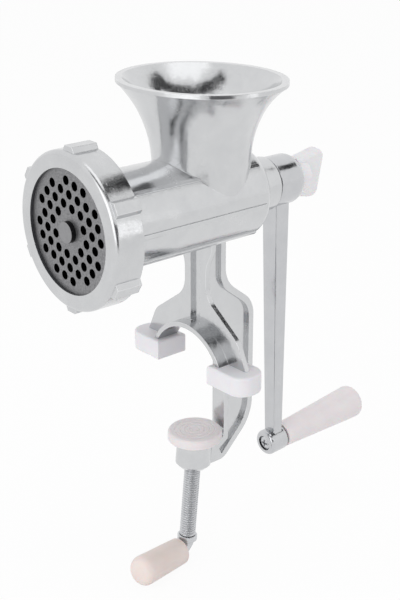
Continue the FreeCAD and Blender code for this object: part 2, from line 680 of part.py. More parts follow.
def body_casting():
    """Hopper, barrel, leg and clamp frame, cast in one."""
    metal = joined("casting_metal", [
        barrel_outside(), rim_band(), leg_flange(), arch_ledge(), clamp_frame(), screw_boss(),
        *foot_tenons(), *barrel_ribs(),
        trumpet("hopper_outside", "0", "rim_rise - rim_band", (0.0, 0.2, 0.4, 0.6, 0.8, 1.0))])
    arch = new("Part::Cylinder", "arch", TO_Y, ("0", "-2 * boot_front", ARCH_CENTRE),
               Radius="arch_r", Height="2 * boot_front + " + FLANGE_BACK)
    arch_behind = new("Part::Cylinder", "arch_behind", TO_Y, ("0", "0", ARCH_CENTRE),
                      Radius="arch_r", Height=FOOT_BACK)
    groove = new("Part::Box", "front_groove", None,
                 ("-groove_half", "-2 * boot_front", "arch_top + ledge_thick"),
                 Length="2 * groove_half", Width="2 * boot_front - flange_front + groove_depth",
                 Height="axis_height - barrel_r - arch_top - ledge_thick")
    key_hole = new("Part::Cylinder", "key_hole", TO_Y,
                   ("0", "-%s - overrun" % HEAD_FRONT, "axis_height - key_ring_r"), Radius="key_r",
                   Height="%s + overrun - %s + key_depth" % (HEAD_FRONT, PLATE_BACK))
    space = joined("casting_space", [
        barrel_inside(), arch, arch_behind, groove, screw_hole(), key_hole,
        trumpet("hopper_inside", "hopper_wall", "rim_rise", (0.0, 0.2, 0.4, 0.6, 0.8, 1.0, 1.06))])
    return cut("body_casting", metal, space)


def boot(side, casting):
    """Plastic cap pressed on a foot, rounded at its outer end and closed on top round the leg."""
    sign = "" if side == "right" else "-"
    body = new_body(side + "_boot_block")
    base = outline(new_sketch(body, side + "_boot_outline", "XY_Plane"), (
        (sign + "boot_in", "-boot_front"), (sign + "boot_out", "-boot_front"),
        (sign + "boot_out", "boot_back"), (sign + "boot_in", "boot_back")))
    block = extruded(body, "Pad", side + "_boot_pad", base, "boot_rise")
    ends = [(sign + "boot_out", "-boot_front"), (sign + "boot_out", "boot_back")]
    smooth = rounded(body, side + "_boot_round", block, "boot_round", on_corner("z", ends))
    rounded(body, side + "_boot_soft", smooth, "boot_soften",
            lambda edge, middle: near(middle.z, "boot_rise") or near(middle.z, "0"))
    return cut(side + "_boot", body, casting)


def ring_nut():
    """Turned ring with a lip in front, and lugs round it for the hand."""
    body = new_body("ring_nut", "axis_height")
    inner = "head_r + thread_clear"
    shape = turned(body, "ring_turned", "YZ_Plane", "H_Axis", (
        ("-ring_front", "ring_open_r"),
        ("-ring_front", "ring_r"),
        ("ring_depth - ring_front", "ring_r"),
        ("ring_depth - ring_front", inner),
        ("ring_lip - ring_front", inner),
        ("ring_lip - ring_front", "ring_open_r")))
    rounded(body, "ring_soft", shape, "ring_round", on_ring("y", "-ring_front", "ring_r"))
    sketch = new_sketch(body, "lug_outline", "XZ_Plane", "ring_front - ring_depth")
    corners = []
    for reach, half in (("(ring_r - rib_root)", "(lug_base / 2)"), ("lug_r", "(lug_tip / 2)"),
                        ("lug_r", "(-lug_tip / 2)"), ("(ring_r - rib_root)", "(-lug_base / 2)")):
        corners.append(("%s * cos(lug_turn) - %s * sin(lug_turn)" % (reach, half),
                        "%s * sin(lug_turn) + %s * cos(lug_turn)" % (reach, half)))
    outline(sketch, corners)
    lug = extruded(body, "Pad", "lug", sketch, "ring_depth - lug_set_back")
    repeat(body, "lugs", lug, sketch, "lug_count")
    return body


def repeat(body, name, feature, sketch, count):
    """Copies of a feature round the normal of a sketch."""
    pattern = body.newObject("PartDesign::PolarPattern", name)
    pattern.Originals = [feature]
    pattern.Axis = (sketch, ["N_Axis"])
    pattern.Angle = 360
    pattern.setExpression("Occurrences", formula(count))
    body.Tip = pattern
    doc.recompute()
    return pattern


def grinding_plate():
    """Steel plate with three rings of a triangular pattern of holes, six equal sectors."""
    body = new_body("grinding_plate", "axis_height")
    disc = new_sketch(body, "plate_outline", "XZ_Plane", PLATE_BACK)
    circle(disc, "0", "0", "plate_r")
    extruded(body, "Pad", "plate_disc", disc, "plate_thick")
    centre = new_sketch(body, "plate_centre", "XZ_Plane", PLATE_FRONT)
    circle(centre, "0", "0", "nose_r + nose_clear")
    circle(centre, "0", "-key_ring_r", "key_r + key_clear")
    extruded(body, "Pocket", "plate_openings", centre, "plate_thick + overrun")
    holes = new_sketch(body, "hole_outline", "XZ_Plane", PLATE_FRONT)
    for ring, steps in ((2, (0, 1)), (3, (0, 1, 2)), (4, (1, 2, 3))):
        for step in steps:
            across = "(hole_pitch * %s)" % (ring - step / 2)
            up = "(hole_pitch * %s * sqrt(3) / 2)" % step
            circle(holes, "%s * cos(hole_turn) - %s * sin(hole_turn)" % (across, up),
                   "%s * sin(hole_turn) + %s * cos(hole_turn)" % (across, up), "hole_r")
    sector = extruded(body, "Pocket", "hole_sector", holes, "plate_thick + overrun")
    repeat(body, "hole_sectors", sector, holes, "6")
    return body


def plate_key():
    """Pin in the head's seat that stands in the plate's notch."""
    return new("Part::Cylinder", "plate_key", TO_Y,
               ("0", "-" + PLATE_BACK + " - seat_depth", "axis_height - key_ring_r"),
               Radius="key_r", Height="seat_depth + key_depth")


def cutter_blade():
    """Four-armed knife with a square hole, its arms narrowing and raked towards the cut."""
    body = new_body("cutter_blade", "axis_height")
    level = BLADE_BACK
    hub = new_sketch(body, "blade_hub_outline", "XZ_Plane", level)
    circle(hub, "0", "0", "blade_hub_r")
    extruded(body, "Pad", "blade_hub", hub, "blade_thick")
    arm = outline(new_sketch(body, "blade_arm_outline", "XZ_Plane", level), (
        ("blade_root / 2 - blade_tip", "0"), ("blade_root / 2", "0"),
        ("blade_root / 2", "blade_r - blade_tip / 4"), ("-blade_tip / 2", "blade_r - blade_tip / 4")))
    pad = extruded(body, "Pad", "blade_arm", arm, "blade_thick")
    repeat(body, "blade_arms", pad, arm, "4")
    half = "(stud_square / 2 + square_clear)"
    square = outline(new_sketch(body, "blade_square_outline", "XZ_Plane", level + " + blade_thick"), (
        ("-" + half, "-" + half), (half, "-" + half), (half, half), ("-" + half, half)))
    extruded(body, "Pocket", "blade_square", square, "blade_thick + overrun")
    return body


def drive_stud():
    """Steel stud in the auger's front: a round root, a square for the blade and a round nose."""
    root = new("Part::Cylinder", "stud_root", TO_Y, ("0", "-" + CAVITY_BACK, "axis_height"),
               Radius="stud_r", Height="stud_grip")
    square = new("Part::Box", "stud_square_part", None,
                 ("-stud_square / 2", "-" + PLATE_BACK, "axis_height - stud_square / 2"),
                 Length="stud_square", Width="%s - %s" % (PLATE_BACK, CAVITY_BACK), Height="stud_square")
    nose = new("Part::Cylinder", "stud_nose", TO_Y,
               ("0", "-%s - nose_proud" % PLATE_FRONT, "axis_height"), Radius="nose_r",
               Height="nose_proud + plate_thick")
    trimmed = new("Part::Cylinder", "stud_trim", TO_Y,
                  ("0", "-" + PLATE_BACK, "axis_height"), Radius="nose_r + overrun / 2",
                  Height="%s - %s" % (PLATE_BACK, CAVITY_BACK))
    cornered = doc.addObject("Part::Common", "stud_cornered")
    cornered.Base = square
    cornered.Tool = trimmed
    return joined("drive_stud", [root, cornered, nose])


def auger():
    """Tapered core with a left-hand flight, a running shaft and a square end for the crank."""
    body = new_body("auger_body", "axis_height")
    turned(body, "auger_core", "YZ_Plane", "H_Axis", (
        ("-" + CAVITY_BACK, "stud_r"),
        ("-" + CAVITY_BACK, "core_front_r"),
        ("flight_start", "core_back_r"),
        (AUGER_BACK, "core_back_r"),
        (AUGER_BACK, "shaft_r"),
        ("hub_front", "shaft_r"),
        ("hub_front", "thumb_r + thumb_clear"),
        ("hub_front - thumb_depth / 2", "thumb_r + thumb_clear"),
        ("hub_front - thumb_depth / 2", "0"),
        ("stud_grip - %s" % CAVITY_BACK, "0"),
        ("stud_grip - %s" % CAVITY_BACK, "stud_r")))
    helix = new("Part::Helix", "flight_line", FreeCAD.Rotation(FreeCAD.Vector(1, 0, 0), 90),
                ("0", "flight_start", "axis_height"), Pitch="flight_pitch",
                Height="flight_start + %s - flight_thick / 2" % CAVITY_BACK, Radius="flight_r")
    helix.LocalCoord = "Left-handed"
    section = new("Sketcher::SketchObject", "flight_section", None, ("0", "0", "axis_height"))
    outline(section, (
        ("core_front_r - rib_root", "flight_start - flight_thick / 2"),
        ("flight_r", "flight_start - flight_thick / 2"),
        ("flight_r", "flight_start + flight_thick / 2"),
        ("core_front_r - rib_root", "flight_start + flight_thick / 2")))
    flight = doc.addObject("Part::Sweep", "flight")
    flight.Sections = [section]
    flight.Spine = (helix, ["Edge1"])
    flight.Solid = True
    flight.Frenet = True
    square = new("Part::Box", "shaft_square_part", None,
                 ("-shaft_square / 2", "hub_front", "axis_height - shaft_square / 2"),
                 Length="shaft_square", Width="shaft_end - hub_front", Height="shaft_square")
    tap = new("Part::Cylinder", "thumb_hole", TO_Y, ("0", "hub_front", "axis_height"),
              Radius="thumb_r + thumb_clear", Height="shaft_end - hub_front + overrun")
    end = cut("shaft_end_part", square, tap)
    return joined("auger", [body, flight, end])


def rear_bush():
    """Sleeve in the rear boss that the auger's shaft runs in."""
    body = new_body("rear_bush", "axis_height")
    turned(body, "bush_turned", "YZ_Plane", "H_Axis", (
        ("thrust_seat", "shaft_r + shaft_clear"), ("thrust_seat", "bush_r"),
        ("boss_end", "bush_r"), ("boss_end", "shaft_r + shaft_clear")))
    return body


def thrust_washer():
    """Flat washer between the auger's shoulder and the thrust seat."""
    body = new_body("thrust_washer", "axis_height")
    back = "thrust_seat - washer_gap"
    turned(body, "washer_turned", "YZ_Plane", "H_Axis", (
        (AUGER_BACK, "shaft_r + shaft_clear"), (AUGER_BACK, "washer_r"),
        (back, "washer_r"), (back, "shaft_r + shaft_clear")))
    return body


def lifted(thing, start="0"):
    """Set a piece, built level, on the grip's axis, which rises backwards from the lower boss."""
    slope = FreeCAD.Rotation(FreeCAD.Vector(1, 0, 0), size("grip_angle"))
    thing.Placement = FreeCAD.Placement(FreeCAD.Vector(), slope.multiply(thing.Placement.Rotation))
    run = "(%s - pin_boss_front)" % start
    thing.setExpression("Placement.Base.y", formula("pin_boss_front + %s * cos(grip_angle)" % run))
    level = "axis_height - crank_length"
    thing.setExpression("Placement.Base.z", formula("%s + %s * sin(grip_angle)" % (level, run)))
    return thing


def crank_arm():
    """Hub on the shaft's square, a tapered arm that cranks backwards, and a boss for the grip."""
    hub = new_body("crank_hub", "axis_height")
    round_hub = turned(hub, "hub_turned", "YZ_Plane", "H_Axis", (
        ("hub_front", "0"), ("hub_front", "hub_r"), ("hub_back", "hub_r"), ("hub_back", "0")))
    round_hub = rounded(hub, "hub_soft", round_hub, "hub_soften", on_ring("y", "hub_front", "hub_r"))
    rounded(hub, "hub_domed", round_hub, "hub_round", on_ring("y", "hub_back", "hub_r"))
    bar = new("Part::Wedge", "arm_bar", TO_Y, ("0", "0", "axis_height"),
              Ymax="crank_length", Xmin="-arm_top_half", Xmax="arm_top_half",
              X2min="-arm_low_half", X2max="arm_low_half", Zmin="arm_top_front", Zmax="arm_top_back",
              Z2min="arm_low_front", Z2max="arm_low_back")
    bar.Ymin = 0
    doc.recompute()
    soft_bar = doc.addObject("Part::Fillet", "arm_soft")
    soft_bar.Base = bar
    long_edges = [int(name[4:]) for name in edges_where(
        bar, lambda edge, middle: edge.Length > size("crank_length") / 2)]
    soft_bar.Edges = [(number, size("arm_soften"), size("arm_soften")) for number in long_edges]
    boss = new_body("pin_boss")
    round_boss = turned(boss, "pin_boss_turned", "YZ_Plane", "H_Axis", (
        ("pin_boss_front", "0"), ("pin_boss_front", "pin_boss_r"),
        ("pin_boss_back", "pin_boss_r"), ("pin_boss_back", "0")))
    rounded(boss, "pin_boss_soft", round_boss, "pin_boss_round",
            lambda edge, middle: isinstance(edge.Curve, Part.Circle))
    lifted(boss)
    metal = joined("crank_metal", [hub, soft_bar, boss])
    flat = "(shaft_square / 2 + square_clear)"
    square = new("Part::Box", "hub_square", None,
                 ("-" + flat, "hub_front - overrun", "axis_height - " + flat),
                 Length="2 * " + flat, Width="shaft_end + square_clear - hub_front + overrun",
                 Height="2 * " + flat)
    stud = new("Part::Cylinder", "hub_stud_hole", TO_Y, ("0", "hub_front", "axis_height"),
               Radius="thumb_r + thumb_clear", Height="hub_back - hub_front + overrun")
    shank = new("Part::Cylinder", "boss_bore", TO_Y, Radius="screw_r + screw_clear",
                Height="pin_boss_back - pin_boss_front + 2 * overrun")
    sink = new("Part::Cylinder", "boss_recess", TO_Y, Radius="screw_head_r + screw_clear",
               Height="screw_sink + overrun")
    for space in (shank, sink):
        lifted(space, "(pin_boss_front - overrun)")
    return cut("crank_arm", metal, joined("crank_space", [square, stud, shank, sink]))


def grip_screw():
    """Screw whose head lies in the lower boss and whose shank holds the grip."""
    seat = "(pin_boss_front + screw_sink - screw_clear)"
    head = new("Part::Cylinder", "grip_screw_head", TO_Y, Radius="screw_head_r", Height="screw_head_thick")
    shank = new("Part::Cylinder", "grip_screw_shank", TO_Y, Radius="screw_r",
                Height="pin_boss_back + grip_gap + screw_reach - " + seat)
    return joined("grip_screw", [lifted(head, "(%s - screw_head_thick)" % seat), lifted(shank, seat)])


def grip(name, level, start, end, root_r, end_r, dome, core_r, core_end):
    """Tapered handle along the barrel's direction, domed at its end and hollow for its core."""
    body = new_body(name, level)
    handle = turned(body, name + "_turned", "YZ_Plane", "H_Axis", (
        (start, core_r), (start, root_r), (end, end_r), (end, "0"), (core_end, "0"), (core_end, core_r)))
    rounded(body, name + "_dome", handle, dome,
            lambda edge, middle: near(middle.y, end) and not along(edge, "y"))
    return body


def lever_grip():
    """Handle on the clamp screw's bent rod."""
    handle = grip("lever_grip", "0", "-lever_bend", "-lever_grip_end", "lever_grip_root_r",
                  "lever_grip_end_r", "lever_grip_dome", "lever_r", "-lever_reach")
    leaned(handle, size("lever_angle"))
    level = "(lever_height - pad_top)"
    handle.setExpression("Placement.Base.y", formula("%s * sin(clamp_lean) - pad_forward" % level))
    handle.setExpression("Placement.Base.z", formula("pad_top + %s * cos(clamp_lean)" % level))
    return handle


def thumb_screw_knob():
    """Plastic wing on a round collar, moulded round its stud."""
    body = new("PartDesign::Body", "thumb_screw_knob",
               FreeCAD.Rotation(FreeCAD.Vector(0, 1, 0), size("knob_angle")), ("0", "0", "axis_height"))
    start = "(hub_back + knob_gap)"
    wing = outline(new_sketch(body, "wing_outline", "YZ_Plane"), (
        (start, "-knob_root_half"), ("hub_back + knob_reach * 0.7", "-knob_half"),
        ("hub_back + knob_reach", "-knob_half"), ("hub_back + knob_reach", "knob_half"),
        ("hub_back + knob_reach * 0.7", "knob_half"), (start, "knob_root_half")))
    pad = extruded(body, "Pad", "wing", wing, "knob_thick", symmetric=True)
    corners = [("hub_back + knob_reach", "knob_half"), ("hub_back + knob_reach", "-knob_half")]
    smooth = rounded(body, "wing_round", pad, "knob_round", on_corner("x", corners))
    rounded(body, "wing_soft", smooth, "knob_soften",
            lambda edge, middle: near(abs(middle.x), "knob_thick / 2") and middle.y > size(start) + 1)
    turned(body, "knob_collar_turned", "YZ_Plane", "H_Axis", (
        (start, "0"), (start, "knob_collar_r"), ("hub_back + knob_collar", "knob_collar_r"),
        ("hub_back + knob_collar", "0")))
    hole = new_sketch(body, "knob_hole_outline", "XZ_Plane", "-" + start)
    circle(hole, "0", "0", "thumb_r")
    extruded(body, "Pocket", "knob_hole", hole, "thumb_hold")
    return body


def thumb_screw_stud():
    """Threaded rod of the thumb screw."""
    return new("Part::Cylinder", "thumb_screw_stud", TO_Y,
               ("0", "shaft_end - thumb_depth", "axis_height"), Radius="thumb_r",
               Height="hub_back + knob_gap + thumb_hold - shaft_end + thumb_depth")


def clamp_screw():
    """Threaded rod with a swivel tip above and a collar below, bent forwards into its lever."""
    shoulder = "(pad_top - pad_thick - tip_gap)"
    tip = new("Part::Cylinder", "screw_tip", None, ("0", "0", shoulder), Radius="tip_r",
              Height="tip_length + tip_gap")
    thread = new("Part::Cylinder", "screw_thread", None, ("0", "0", "collar_top"), Radius="clamp_r",
                 Height=shoulder + " - collar_top")
    collar = new("Part::Cylinder", "screw_collar", None, ("0", "0", "collar_top - collar_thick"),
                 Radius="collar_r", Height="collar_thick")
    bend_level = "(lever_height + lever_bend)"
    rod = new("Part::Cylinder", "screw_rod", None, ("0", "0", bend_level), Radius="lever_r",
              Height="collar_top - " + bend_level)
    quarter = FreeCAD.Rotation(
        FreeCAD.Vector(0, 1, 0), FreeCAD.Vector(0, 0, -1), FreeCAD.Vector(-1, 0, 0), "XYZ")
    bend = new("Part::Torus", "screw_bend", quarter, ("0", "-lever_bend", bend_level),
               Radius1="lever_bend", Radius2="lever_r")
    bend.Angle3 = 90
    lever = new("Part::Cylinder", "screw_lever", TO_Y, ("0", "-lever_reach", "lever_height"),
                Radius="lever_r", Height="lever_reach - lever_bend")
    screw = joined("clamp_screw", [tip, thread, collar, rod, bend, lever])
    return leaned(screw, size("lever_angle"))


def swivel_foot():
    """Steel disc with a socket for the screw's tip, which slants while the disc stays level."""
    body = new_body("swivel_foot")
    bind(body, Placement__Base__y=PAD_Y)
    low = "(pad_top - pad_thick)"
    socket = "tip_r + tip_clear"
    turned(body, "foot_turned", "XZ_Plane", "V_Axis", (
        (socket, low), ("foot_disc_r", low), ("foot_disc_r", "pad_top - pad_roof"),
        ("0", "pad_top - pad_roof"), ("0", low + " + tip_length + tip_clear"),
        (socket, low + " + tip_length + tip_clear")))
    return body


def pad_cap():
    """Plastic cap over the swivel foot, with two rings sunk in its top."""
    body = new_body("pad_cap")
    bind(body, Placement__Base__y=PAD_Y)
    low = "pad_top - pad_thick"
    rings = []
    for radius in ("pad_groove_r", "pad_groove_inner_r"):
        rings.append((radius + " + pad_groove", "pad_top"))
        rings.append((radius, "pad_top - pad_groove"))
        rings.append((radius + " - pad_groove", "pad_top"))
    cap = turned(body, "pad_turned", "XZ_Plane", "V_Axis", (
        ("foot_disc_r", low), ("pad_r", low), ("pad_r", "pad_top"), *rings,
        ("0", "pad_top"), ("0", "pad_top - pad_roof"), ("foot_disc_r", "pad_top - pad_roof")))
    rounded(body, "pad_soft", cap, "pad_soften", on_ring("z", "pad_top", "pad_r"))
    return body


casting = body_casting()
NODES = {
    "body_casting": casting,
    "left_boot": boot("left", casting),
    "right_boot": boot("right", casting),
    "plate_key": plate_key(),
    "ring_nut": ring_nut(),
    "grinding_plate": grinding_plate(),
    "cutter_blade": cutter_blade(),
    "drive_stud": drive_stud(),
    "auger": auger(),
    "rear_bush": rear_bush(),
    "thrust_washer": thrust_washer(),
    "crank_arm": crank_arm(),
    "grip_screw": grip_screw(),
    "crank_grip": lifted(grip(
        "crank_grip", "0", "pin_boss_back + grip_gap", "grip_end", "grip_root_r", "grip_end_r",
        "grip_dome", "screw_r", "pin_boss_back + grip_gap + screw_reach")),
    "thumb_screw_knob": thumb_screw_knob(),
    "thumb_screw_stud": thumb_screw_stud(),
    "clamp_screw": clamp_screw(),
    "lever_grip": lever_grip(),
    "swivel_foot": swivel_foot(),
    "pad_cap": pad_cap(),
}
doc.recompute()

for thing in doc.Objects:
    if "Invalid" in thing.State or "Error" in thing.State:
        raise RuntimeError("%s failed: %s" % (thing.Name, thing.State))
for node, thing in NODES.items():
    thing.Label = node
    if thing.Shape.isNull() or not thing.Shape.isValid():
        raise RuntimeError("%s has no valid shape" % node)

os.makedirs("parts", exist_ok=True)
for node, thing in NODES.items():
    thing.Shape.exportStep("parts/%s.step" % node)
    print(node, "solids", len(thing.Shape.Solids), "volume", round(thing.Shape.Volume, 1))
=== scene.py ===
import math

import bpy
import numpy as np
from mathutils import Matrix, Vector


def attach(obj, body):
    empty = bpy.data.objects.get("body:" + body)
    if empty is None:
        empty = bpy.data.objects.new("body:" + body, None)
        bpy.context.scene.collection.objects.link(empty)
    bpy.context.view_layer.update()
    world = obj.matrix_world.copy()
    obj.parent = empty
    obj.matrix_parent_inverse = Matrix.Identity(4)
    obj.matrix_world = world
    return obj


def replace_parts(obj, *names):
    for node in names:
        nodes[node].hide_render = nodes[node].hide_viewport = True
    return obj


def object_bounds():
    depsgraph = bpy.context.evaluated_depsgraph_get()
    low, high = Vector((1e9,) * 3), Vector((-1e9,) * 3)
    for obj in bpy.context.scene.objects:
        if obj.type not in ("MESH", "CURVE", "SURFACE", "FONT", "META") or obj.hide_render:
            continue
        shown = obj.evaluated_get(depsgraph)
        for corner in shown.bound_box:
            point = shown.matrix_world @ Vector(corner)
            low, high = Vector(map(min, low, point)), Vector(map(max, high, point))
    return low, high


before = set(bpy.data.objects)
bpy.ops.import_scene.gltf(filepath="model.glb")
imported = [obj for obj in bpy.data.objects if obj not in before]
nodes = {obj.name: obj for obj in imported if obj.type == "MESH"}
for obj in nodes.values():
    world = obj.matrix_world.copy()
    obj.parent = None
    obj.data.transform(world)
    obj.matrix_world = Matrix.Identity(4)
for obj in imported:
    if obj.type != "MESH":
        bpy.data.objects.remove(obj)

# Hand crank meat grinder with a table clamp: its finishes, screws, light and view.
# Lengths are in metres. Names that end in MM or mm, and the sizes inside the functions of the new pieces,
# are in millimetres.
# The plate faces -Y, the crank is at +Y, and +Z is up.

MM = 0.001
cad_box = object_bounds()


# Sizes from the solids, for the new pieces, and zones of painted shade in the finishes. A zone's ends are
# along the barrel.
AXIS_MM = 82.5             # barrel axis above the table top
BORE_MM = 18.5             # barrel bore radius
BORE_ENDS_MM = (-60, 20)   # zone of the bore painted darker as shade
OPENING_MM = 27.0          # radius of the ring nut's opening
RING_ENDS_MM = (-72, -50)  # zone of painted shade that takes in the whole ring nut
HEAD_MM = 30.2             # threaded head's radius
HEAD_ENDS_MM = (-67.4, -59.0)  # the head's thread along the barrel
BOSS_MM = 14.0             # rear boss's radius at the barrel
BOSS_ROOT_MM = (28.7, 29.5)  # zone of painted shade, a dark line at the boss's root
HUB_FACE_MM = 11.7         # crank hub's front, painted dark as shade in its gap, out to its soft edge
HUB_GAP_MM = (43.0, 43.2)  # zone that takes in that front
ZONE_MARGIN_MM = 0.02      # added to a painted shade zone's radius
CLAMP_LEAN = math.radians(5.5)  # clamp screw from upright
LEVER_TURN = math.radians(10.0)  # lever about the clamp screw
CLAMP_Y_MM = -0.2          # clamp screw's axis at the pad's top
PAD_TOP_MM = -32.5         # pad's top face
PAD_Y_MM = -0.58           # pad's own axis
GRIP_RISE = math.radians(3.0)  # grip's axis from level
GRIP_START_MM = (46.3, -56.9)  # front of the lower boss on the grip's axis, along Y and Z
SMOOTH_TO = math.radians(38)  # sharpest edge that is shaded smooth

# Finishes: colours of painted highlights and painted shade, shine as the range of roughness, and height of
# the waves.
# Near white painted on edges as a highlight, partly the tumbler's polish.
EDGE_HIGHLIGHT = "#F4F5F6"
# Grey painted as shade in creases and tight corners.
CREASE_SHADE = "#848587"
# Near black painted as shade on the walls of holes.
HOLE_WALL_SHADE = "#141415"
# Grey painted as shade in the thread's roots.
ROOT_SHADE = "#8E8F92"
SHEEN = (0.10, 0.28)
PLAIN_SHEEN = (0.25, 0.45)
WAVE_MM = 0.12
PLAIN_WAVE_MM = 0.2
PLASTIC_IOR = 1.49
GRAIN_SPREAD = 0.06        # roughness that the grain adds or takes

# Studio.
FLOOR_HALF = 6.0
FLOOR_DROP_MM = 0.2        # floor below the lowest point
FLOOR_SEEN = 0.93          # share of plain white in the floor for the camera
FLOOR_MIRRORED = 0.85      # the same share in reflections
WORLD_LIGHT = 0.73         # strength of the surroundings as a light
LAMP_BACK = 0.01           # distance of the black back behind its lamp
STUDIO_CENTRE = np.array([0, 0, 0.11])
SQUARE = ((-1, -1), (1, -1), (1, 1), (-1, 1))

# View of the photograph: the lens is for a 36 mm long side.
PHOTO_LENS_MM = 71.99
PHOTO_SIDE_MM = 36.0
PHOTO_PLACE = (0.3928, -0.3369, 0.2386)
PHOTO_AZIMUTH = 49.16
PHOTO_ELEVATION = 21.54


def linear(code):
    """Linear colour of an sRGB hex value: the straight part below 0.04045, the 2.4 power above it."""
    parts = np.array([int(code[i:i + 2], 16) for i in (1, 3, 5)]) / 255
    rgb = np.where(parts <= 0.04045, parts / 12.92, ((parts + 0.055) / 1.055) ** 2.4)
    return (*rgb.tolist(), 1.0)


def add(tree, kind, links=None, values=None, **settings):
    """Add a node, set its settings and values, and link its inputs to the given outputs."""
    made = tree.nodes.new(kind)
    for name, value in settings.items():
        setattr(made, name, value)
    for name, value in (values or {}).items():
        made.inputs[name].default_value = value
    for name, source in (links or {}).items():
        tree.links.new(source, made.inputs[name])
    return made


def surface(name, metallic, roughness, colour):
    """New material with one Principled shader, its constant values set on the shader itself."""
    material = bpy.data.materials.new(name)
    material.use_nodes = True
    tree = material.node_tree
    shader = tree.nodes["Principled BSDF"]
    shader.inputs["Metallic"].default_value = metallic
    shader.inputs["Roughness"].default_value = roughness
    shader.inputs["Base Color"].default_value = linear(colour)
    place = add(tree, "ShaderNodeTexCoord").outputs["Object"]
    return material, tree, shader, place


def per_mm(size):
    """Texture scale for a pattern whose cells are the given number of millimetres across."""
    return 1 / (size * MM)


def inside_barrel(tree, place, radius_mm, ends_mm):
    """1 within a radius of the barrel's axis and between two places along it, 0 elsewhere."""
    across = add(tree, "ShaderNodeMapping", {"Vector": place},
                 {"Location": (0, 0, -AXIS_MM * MM), "Scale": (1, 0, 1)})
    radius = add(tree, "ShaderNodeVectorMath", {0: across.outputs["Vector"]}, operation="LENGTH")
    near = add(tree, "ShaderNodeMath", {0: radius.outputs["Value"]},
               {1: (radius_mm + ZONE_MARGIN_MM) * MM}, operation="LESS_THAN")
    along = add(tree, "ShaderNodeSeparateXYZ", {"Vector": place}).outputs["Y"]
    behind = add(tree, "ShaderNodeMath", {0: along}, {1: ends_mm[0] * MM}, operation="GREATER_THAN")
    ahead = add(tree, "ShaderNodeMath", {0: along}, {1: ends_mm[1] * MM}, operation="LESS_THAN")
    between = add(tree, "ShaderNodeMath", {0: behind.outputs["Value"], 1: ahead.outputs["Value"]},
                  operation="MULTIPLY")
    return add(tree, "ShaderNodeMath", {0: near.outputs["Value"], 1: between.outputs["Value"]},
               operation="MULTIPLY").outputs["Value"]


def tumbled_aluminium(name, light, dark, sheen, wave_mm, shade_zones=()):
    """Die-cast aluminium polished in a tumbler.

    Bright and a little wavy, with dull patches and fine scuffs. The edges are painted brighter as
    highlights, partly the tumbler's polish. The creases get a grey painted shade, and zones given by radius,
    ends and colour are painted darker as shade.
    """
    material, tree, shader, place = surface(name, 1.0, sheen[0], light)
    patches = add(tree, "ShaderNodeTexNoise", {"Vector": place},
                  {"Scale": per_mm(9), "Detail": 3.0, "Roughness": 0.55})
    scuffs = add(tree, "ShaderNodeTexNoise", {"Vector": place},
                 {"Scale": per_mm(0.9), "Detail": 2.0, "Roughness": 0.6})
    waves = add(tree, "ShaderNodeTexNoise", {"Vector": place}, {"Scale": per_mm(7), "Detail": 1.0})
    soft_edge = add(tree, "ShaderNodeBevel", values={"Radius": 0.35 * MM}, samples=6)
    face = add(tree, "ShaderNodeNewGeometry")
    turn = add(tree, "ShaderNodeVectorMath", {0: soft_edge.outputs["Normal"], 1: face.outputs["Normal"]},
               operation="DOT_PRODUCT")
    # Painted highlight: at edges, where the rounded normal turns away from the face's, the colour goes
    # towards near white.
    edge_highlight_mask = add(tree, "ShaderNodeMapRange", {"Value": turn.outputs["Value"]},
                 {"From Min": 0.99, "From Max": 0.9, "To Min": 0.0, "To Max": 0.6})
    # Painted shade: creases and tight corners, found by occlusion, are painted grey.
    corners = add(tree, "ShaderNodeAmbientOcclusion", values={"Distance": 0.3 * MM}, samples=8)
    unshaded = add(tree, "ShaderNodeMapRange", {"Value": corners.outputs["AO"]},
                     {"From Min": 0.45, "From Max": 0.8})
    tone = add(tree, "ShaderNodeMix", {"Factor": patches.outputs["Fac"]},
               {"A": linear(dark), "B": linear(light)}, data_type="RGBA")
    tone = add(tree, "ShaderNodeMix", {"Factor": edge_highlight_mask.outputs["Result"], "A": tone.outputs["Result"]},
               {"B": linear(EDGE_HIGHLIGHT)}, data_type="RGBA")
    tone = add(tree, "ShaderNodeMix", {"Factor": unshaded.outputs["Result"], "B": tone.outputs["Result"]},
               {"A": linear(CREASE_SHADE)}, data_type="RGBA")
    # Painted shade: each zone, inside a radius of the barrel's axis and between two places along it, is
    # painted darker.
    for radius_mm, ends_mm, shade_colour in shade_zones:
        within = inside_barrel(tree, place, radius_mm, ends_mm)
        tone = add(tree, "ShaderNodeMix", {"Factor": within, "A": tone.outputs["Result"]},
                   {"B": linear(shade_colour)}, data_type="RGBA")
    tree.links.new(tone.outputs["Result"], shader.inputs["Base Color"])
    mixed = add(tree, "ShaderNodeMath", {0: patches.outputs["Fac"], 1: scuffs.outputs["Fac"]},
                operation="MULTIPLY")
    dull = add(tree, "ShaderNodeMapRange", {"Value": mixed.outputs["Value"]},
               {"From Min": 0.1, "From Max": 0.45, "To Min": sheen[0], "To Max": sheen[1]})
    tree.links.new(dull.outputs["Result"], shader.inputs["Roughness"])
    fine = add(tree, "ShaderNodeBump",
               {"Height": scuffs.outputs["Fac"], "Normal": soft_edge.outputs["Normal"]},
               {"Strength": 0.25, "Distance": 0.05 * MM})
    rolling = add(tree, "ShaderNodeBump", {"Height": waves.outputs["Fac"], "Normal": fine.outputs["Normal"]},
                  {"Strength": 1.0, "Distance": wave_mm * MM})
    tree.links.new(rolling.outputs["Normal"], shader.inputs["Normal"])
    return material


def end_faces(tree):
    """1 where the surface faces along the barrel, 0 on walls that run along it."""
    facing = add(tree, "ShaderNodeTexCoord").outputs["Normal"]
    along = add(tree, "ShaderNodeSeparateXYZ", {"Vector": facing}).outputs["Y"]
    straight = add(tree, "ShaderNodeMath", {0: along}, operation="ABSOLUTE")
    return add(tree, "ShaderNodeMapRange", {"Value": straight.outputs["Value"]},
               {"From Min": 0.6, "From Max": 0.95}).outputs["Result"]


